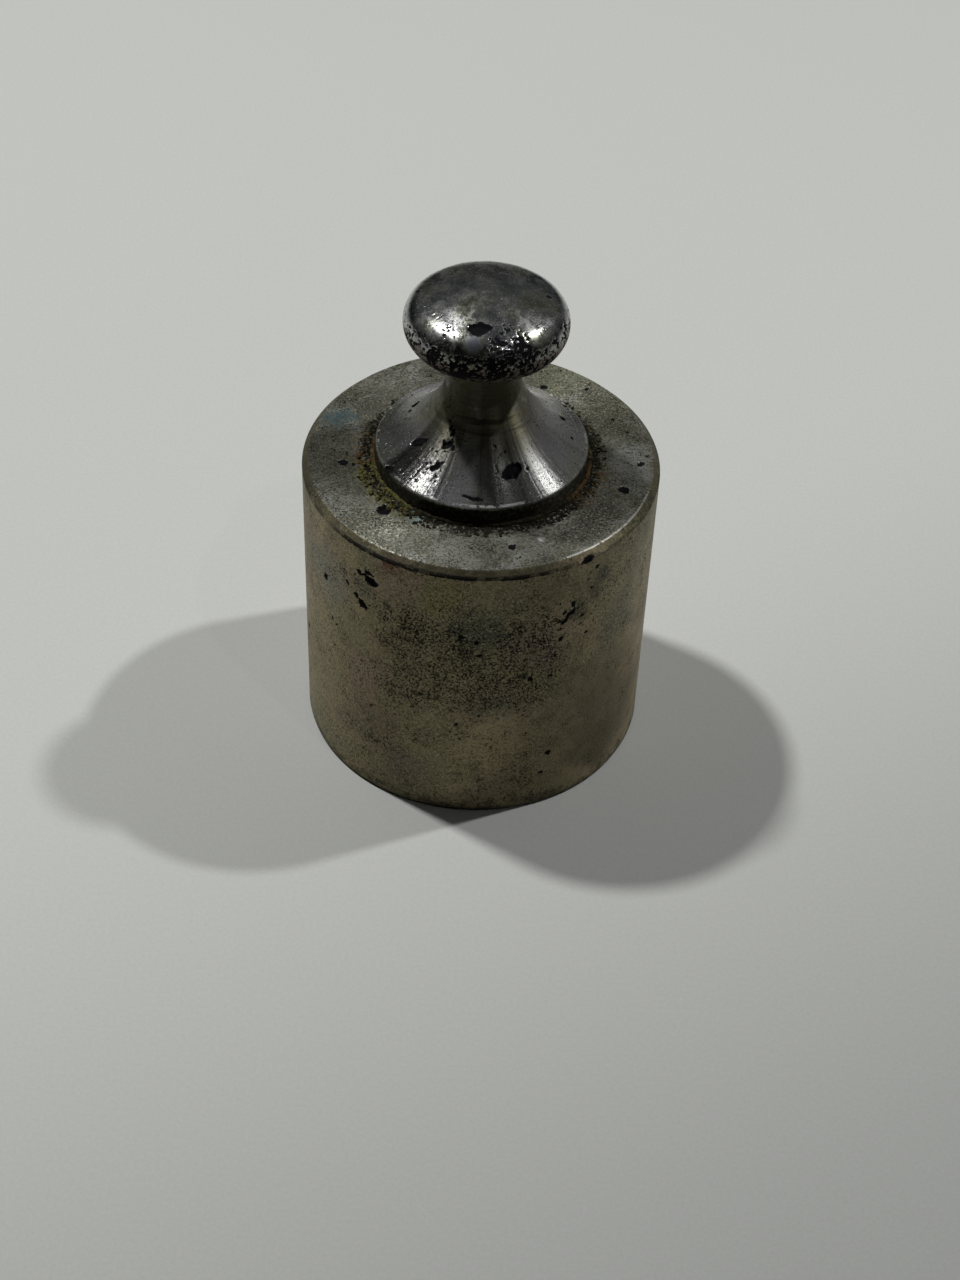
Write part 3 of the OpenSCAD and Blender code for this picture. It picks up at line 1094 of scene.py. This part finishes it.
def crust():
    """Corrosion along the seam: nearly black, olive, ochre and green crumbs."""
    material, tree, shader = new_material("crust", Specular_IOR_Level=0.1)
    degrees, _, _ = tree.around()
    tones = tree.ramp(tree.noise(1.8, 4, 0.75), [
        (0.40, (0.006, 0.005, 0.003)), (0.5, (0.02, 0.018, 0.009)), (0.58, (0.07, 0.065, 0.025)),
        (0.7, (0.15, 0.135, 0.06))])
    patchy = tree.rise(tree.noise(2.2, 4, 0.75), 0.43, 0.55)
    green = tree.window(degrees, *GREEN_ARC) * patchy * 0.8
    rust = tree.window(degrees, -105, -82, 8).math("MAXIMUM", tree.window(degrees, *RUST_ARC)) * patchy
    colour = tree.mix(green, tones, (0.15, 0.14, 0.045))
    colour = tree.mix(rust * 0.7, colour, (0.12, 0.065, 0.025))
    colour = tree.mix(tree.window(degrees, -28, 44, 14) * 0.75, colour, (0.008, 0.007, 0.004))
    Finish(tree, colour, 0.8, 0.0).join(shader, tree.noise(8, 3, 0.7), 0.5, 0.05)
    return material


def lead():
    material, tree, shader = new_material("lead")
    tones = tree.ramp(tree.noise(1.2, 4, 0.6), [
        (0.35, (0.10, 0.10, 0.11)), (0.65, (0.22, 0.22, 0.23))])
    Finish(tree, tones, 0.6, 0.7).join(shader, tree.noise(3, 3, 0.6), 0.5, 0.05)
    return material


def pale_floor():
    """A pale matt board, with painted shade that darkens it towards the front right."""
    material, tree, shader = new_material("pale_floor", Roughness=0.75)
    grain = tree.noise(2.2, 3, 0.7)
    colour = tree.ramp(grain, [(0.3, (0.56, 0.57, 0.54)), (0.7, (0.61, 0.62, 0.59))])
    x, y, _ = tree.split(tree.where)
    # painted shade, darkest towards the front right
    painted_shade = tree.rise(x * 0.6 - y * 0.9, -30, 150) * 0.5
    tree.feed(shader["Base Color"], tree.mix(painted_shade, colour, (0, 0, 0)))
    return material


# ======== floor, lamps and camera

def make_floor():
    bpy.ops.mesh.primitive_plane_add(size=FLOOR_SIZE)
    floor = bpy.context.object
    floor.name = "floor"
    floor.data.materials.append(pale_floor())


def lamp(name, place, size, power):
    """A soft round lamp that faces the origin. Its place is in metres."""
    data = bpy.data.lights.new(name, "AREA")
    data.shape = "DISK"
    data.size = size
    data.energy = power
    made = new_object(name, data)
    made.location = place
    made.rotation_euler = Vector(place).to_track_quat("Z", "Y").to_euler()


def make_world():
    """A dim room, darker towards the camera and low down. The camera itself sees an even grey."""
    world = bpy.data.worlds.new("room")
    world.use_nodes = True
    bpy.context.scene.world = world
    tree = Tree(world.node_tree)
    _, depth, rise = tree.split(tree.node("ShaderNodeTexCoord", out="Generated"))
    level = tree.ramp(depth * 0.5 + 0.5, [
        (0.2, (0.003, 0.003, 0.003)), (0.38, (0.009, 0.009, 0.009)), (0.46, (0.085, 0.085, 0.087)),
        (0.85, (0.08, 0.083, 0.08))])
    level = tree.scaled(level, 0.2 + 0.8 * tree.rise(rise, 0.1, 0.45))
    seen = tree.node("ShaderNodeLightPath", out="Is Camera Ray")
    background = world.node_tree.nodes["Background"].inputs["Color"]
    tree.feed(background, tree.mix(seen, level, (0.3, 0.3, 0.29)))


def make_camera():
    data = bpy.data.cameras.new("camera")
    data.lens = CAMERA_LENS
    data.sensor_width = CAMERA_SENSOR
    data.clip_start = CAMERA_NEAR * MM
    camera = new_object("camera", data)
    level = CAMERA_DISTANCE * MM * math.cos(CAMERA_ELEVATION)
    height = CAMERA_DISTANCE * MM * math.sin(CAMERA_ELEVATION)
    place = Matrix.Translation((0, -level, height))
    aim = Matrix.Rotation(math.pi / 2 - CAMERA_ELEVATION, 4, "X")
    aim = aim @ Matrix.Rotation(CAMERA_PAN, 4, "Y") @ Matrix.Rotation(CAMERA_TILT, 4, "X")
    camera.matrix_world = place @ aim @ Matrix.Rotation(CAMERA_ROLL, 4, "Z")
    bpy.context.scene.camera = camera


# ======== the scene

def ring(name, inner, outer, height):
    """A flat ring, as ground for a scatter."""
    points = []
    for reach in (inner, outer):
        points += [placed(360 * i / RING_SIDES, reach, height) * MM for i in range(RING_SIDES)]
    faces = []
    for i in range(RING_SIDES):
        after = (i + 1) % RING_SIDES
        faces.append((i, after, RING_SIDES + after, RING_SIDES + i))
    return base_object(name, points, faces=faces)


def thread(name, radius, ridge, start, end):
    """A brass screw thread whose ridge winds round a radius from one height to another."""
    return grown(name, base_object(name + "_start"), thread_tree(), {
        "Radius": radius * MM, "Pitch": THREAD_PITCH * MM, "Ridge": ridge * MM,
        "Length": (end - start) * MM, "Start": start * MM, "Metal": bpy.data.materials["stem_brass"]})


def make_weight():
    body = turned_piece("body_cylinder", body_section(), BODY_SIDES, body_pits(), body_pocks,
                        BODY_POCK_DEPTH, [(body_nickel(), BELOW_ALL)])
    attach(body, "weight_body")
    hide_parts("body")

    knob = turned_piece("screw_knob", knob_section(), KNOB_SIDES, knob_pits(), knob_pocks,
                        KNOB_POCK_DEPTH, [(stem_brass(), BELOW_ALL), (flare_nickel(), BODY_TOP),
                                          (head_nickel(), HEAD_UNDER + 0.1)])
    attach(knob, "knob")
    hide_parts("knob")

    grime = crust()
    bead = grown("seam_grime", base_object("bead_start"), bead_tree(), {
        "Circle radius": (FOOT_R + BEAD_R * 0.7) * MM, "Height": BODY_TOP * MM,
        "Bead radius": BEAD_R * MM, "Crust": grime})
    ground = ring("crumb_ground", FOOT_R + BEAD_R, FOOT_R + CRUMB_REACH, BODY_TOP)
    smallest, largest = CRUMB_SIZES
    crumbs = grown("seam_crumbs", ground, crumbs_tree(), {
        "Per square metre": CRUMBS_PER_MM2 / MM ** 2, "Smallest": smallest * MM,
        "Largest": largest * MM, "Crust": grime})
    for piece in (bead, crumbs):
        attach(piece, "weight_body")

    stem = thread("stem_thread", STEM_R - THREAD_DEPTH, THREAD_DEPTH, THREAD_END, THREAD_TOP)
    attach(stem, "knob")
    half_turn = THREAD_PITCH / 2
    nut = thread("hole_thread", HOLE_R + THREAD_DEPTH, THREAD_DEPTH - THREAD_CLEARANCE,
                 STEM_END - half_turn, BODY_TOP - MOUTH_CHAMFER - half_turn)
    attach(nut, "weight_body")

    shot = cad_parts["adjusting_shot"]
    shot.data.materials.clear()
    shot.data.materials.append(lead())


make_camera()
make_weight()
make_floor()
for settings in LAMPS:
    lamp(*settings)
make_world()
bpy.context.scene.view_settings.view_transform = "Standard"
